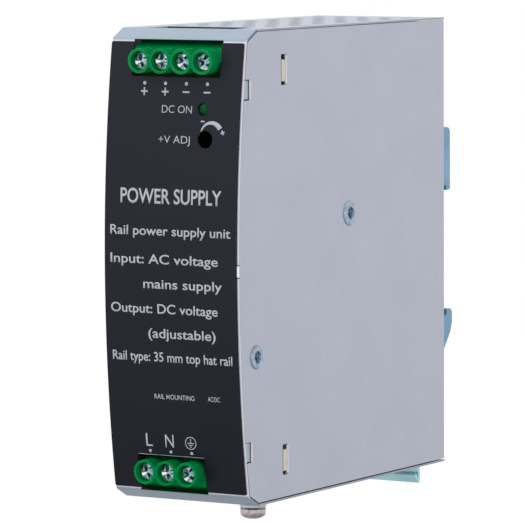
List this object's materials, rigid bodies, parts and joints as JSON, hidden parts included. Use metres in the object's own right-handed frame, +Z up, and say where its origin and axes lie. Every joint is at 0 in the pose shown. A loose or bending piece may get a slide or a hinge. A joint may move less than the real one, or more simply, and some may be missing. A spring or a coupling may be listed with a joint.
{
  "type": "din rail power supply",
  "caption": "Slim sheet-metal power supply that clips on a 35 mm rail, with screw terminals at top and bottom, a status lamp and a voltage trimmer.",
  "frame": {"origin": "middle of the 35 mm rail that holds the part, on the plane of the rail's front face", "axes": "+X to the right as seen from the front, +Y to the back, out of the rail seat, +Z up"},
  "size_m": [0.041, 0.1178, 0.1303],
  "materials": {
    "bright_zinc": "bright zinc plate with a cool blue passivation",
    "grey_steel": "satin zinc-coated sheet steel, cool grey",
    "clip_zinc": "blue-passivated zinc plate",
    "screw_steel": "nickel-plated steel",
    "tinned_copper": "tin-plated copper alloy",
    "black_film": "satin black printed film with white marks",
    "green_plastic": "moulded green plastic",
    "green_board": "green solder mask over glass-fibre board",
    "green_lens": "tinted translucent green lens",
    "clear_film": "milky insulating film",
    "ferrite": "dull black ferrite",
    "copper_wire": "enamelled copper wire",
    "yellow_tape": "yellow polyester tape",
    "blue_sleeve": "shrunk dark blue sleeve",
    "aluminium": "milled aluminium",
    "black_epoxy": "moulded black epoxy",
    "white_ceramic": "white ceramic",
    "blue_plastic": "moulded blue plastic"
  },
  "bodies": {
    "case": {"front_bezel": "bright_zinc", "front_label": "black_film", "right_side_cover": "grey_steel", "left_side_panel": "grey_steel", "top_vent_panel": "grey_steel", "bottom_vent_panel": "grey_steel", "rear_panel": "grey_steel", "cover_screw_front": "screw_steel", "cover_screw_middle": "screw_steel", "earth_washer": "screw_steel", "earth_screw": "screw_steel", "rail_bracket": "clip_zinc", "latch_spring": "screw_steel", "bracket_rivet_1": "screw_steel", "bracket_rivet_2": "screw_steel", "bracket_rivet_3": "screw_steel", "bracket_rivet_4": "screw_steel", "output_terminal_housing": "green_plastic", "input_terminal_housing": "green_plastic", "output_contact_1": "tinned_copper", "output_contact_2": "tinned_copper", "output_contact_3": "tinned_copper", "output_contact_4": "tinned_copper", "input_contact_1": "tinned_copper", "input_contact_2": "tinned_copper", "input_contact_3": "tinned_copper", "terminal_board": "green_board", "main_board": "green_board", "insulation_sheet": "clear_film", "status_led": "green_lens", "trimmer_body": "blue_plastic", "input_fuse": "white_ceramic", "common_mode_choke": "copper_wire", "x_capacitor": "yellow_tape", "bulk_capacitor_1": "blue_sleeve", "bulk_capacitor_2": "blue_sleeve", "transformer_core": "ferrite", "transformer_winding": "yellow_tape", "input_heat_sink": "aluminium", "switching_transistor": "black_epoxy", "output_heat_sink": "aluminium", "output_rectifier": "black_epoxy", "output_inductor": "copper_wire", "output_capacitor": "blue_sleeve"},
    "latch": {"rail_latch": "clip_zinc"},
    "trimmer": {"trimmer_rotor": "white_ceramic"},
    "output_screw_1": {"output_screw_1": "screw_steel"},
    "output_clamp_1": {"output_clamp_1": "tinned_copper"},
    "output_screw_2": {"output_screw_2": "screw_steel"},
    "output_clamp_2": {"output_clamp_2": "tinned_copper"},
    "output_screw_3": {"output_screw_3": "screw_steel"},
    "output_clamp_3": {"output_clamp_3": "tinned_copper"},
    "output_screw_4": {"output_screw_4": "screw_steel"},
    "output_clamp_4": {"output_clamp_4": "tinned_copper"},
    "input_screw_1": {"input_screw_1": "screw_steel"},
    "input_clamp_1": {"input_clamp_1": "tinned_copper"},
    "input_screw_2": {"input_screw_2": "screw_steel"},
    "input_clamp_2": {"input_clamp_2": "tinned_copper"},
    "input_screw_3": {"input_screw_3": "screw_steel"},
    "input_clamp_3": {"input_clamp_3": "tinned_copper"}
  },
  "joints": [
    {"name": "latch_slide", "type": "slide", "parent": "case", "child": "latch", "axis": [0, 0, -1], "range_m": [0, 0.006], "stiffness_N_per_m": 1500, "springref_m": -0.004, "deforming": ["latch_spring"]},
    {"name": "trimmer_turn", "type": "hinge", "parent": "case", "child": "trimmer", "pos_m": [0.0097, -0.09829, 0.0369], "axis": [0, 1, 0], "range_deg": [-130, 130]},
    {"name": "output_screw_1_turn", "type": "hinge", "parent": "case", "child": "output_screw_1", "pos_m": [-0.00953, -0.10829, 0.0569], "axis": [0, 1, 0], "range_deg": [0, 1944]},
    {"name": "output_clamp_1_slide", "type": "slide", "parent": "case", "child": "output_clamp_1", "axis": [0, -1, 0], "range_m": [0, 0.0027]},
    {"name": "output_screw_2_turn", "type": "hinge", "parent": "case", "child": "output_screw_2", "pos_m": [-0.00317, -0.10829, 0.0569], "axis": [0, 1, 0], "range_deg": [0, 1944]},
    {"name": "output_clamp_2_slide", "type": "slide", "parent": "case", "child": "output_clamp_2", "axis": [0, -1, 0], "range_m": [0, 0.0027]},
    {"name": "output_screw_3_turn", "type": "hinge", "parent": "case", "child": "output_screw_3", "pos_m": [0.00317, -0.10829, 0.0569], "axis": [0, 1, 0], "range_deg": [0, 1944]},
    {"name": "output_clamp_3_slide", "type": "slide", "parent": "case", "child": "output_clamp_3", "axis": [0, -1, 0], "range_m": [0, 0.0027]},
    {"name": "output_screw_4_turn", "type": "hinge", "parent": "case", "child": "output_screw_4", "pos_m": [0.00953, -0.10829, 0.0569], "axis": [0, 1, 0], "range_deg": [0, 1944]},
    {"name": "output_clamp_4_slide", "type": "slide", "parent": "case", "child": "output_clamp_4", "axis": [0, -1, 0], "range_m": [0, 0.0027]},
    {"name": "input_screw_1_turn", "type": "hinge", "parent": "case", "child": "input_screw_1", "pos_m": [-0.00855, -0.10829, -0.0502], "axis": [0, 1, 0], "range_deg": [0, 1944]},
    {"name": "input_clamp_1_slide", "type": "slide", "parent": "case", "child": "input_clamp_1", "axis": [0, -1, 0], "range_m": [0, 0.0027]},
    {"name": "input_screw_2_turn", "type": "hinge", "parent": "case", "child": "input_screw_2", "pos_m": [-0.0022, -0.10829, -0.0502], "axis": [0, 1, 0], "range_deg": [0, 1944]},
    {"name": "input_clamp_2_slide", "type": "slide", "parent": "case", "child": "input_clamp_2", "axis": [0, -1, 0], "range_m": [0, 0.0027]},
    {"name": "input_screw_3_turn", "type": "hinge", "parent": "case", "child": "input_screw_3", "pos_m": [0.00415, -0.10829, -0.0502], "axis": [0, 1, 0], "range_deg": [0, 1944]},
    {"name": "input_clamp_3_slide", "type": "slide", "parent": "case", "child": "input_clamp_3", "axis": [0, -1, 0], "range_m": [0, 0.0027]}
  ],
  "couplings": [
    {"joint": "output_screw_1_turn", "follows": "output_clamp_1_slide", "rad_per_m": 12566},
    {"joint": "output_screw_2_turn", "follows": "output_clamp_2_slide", "rad_per_m": 12566},
    {"joint": "output_screw_3_turn", "follows": "output_clamp_3_slide", "rad_per_m": 12566},
    {"joint": "output_screw_4_turn", "follows": "output_clamp_4_slide", "rad_per_m": 12566},
    {"joint": "input_screw_1_turn", "follows": "input_clamp_1_slide", "rad_per_m": 12566},
    {"joint": "input_screw_2_turn", "follows": "input_clamp_2_slide", "rad_per_m": 12566},
    {"joint": "input_screw_3_turn", "follows": "input_clamp_3_slide", "rad_per_m": 12566}
  ]
}
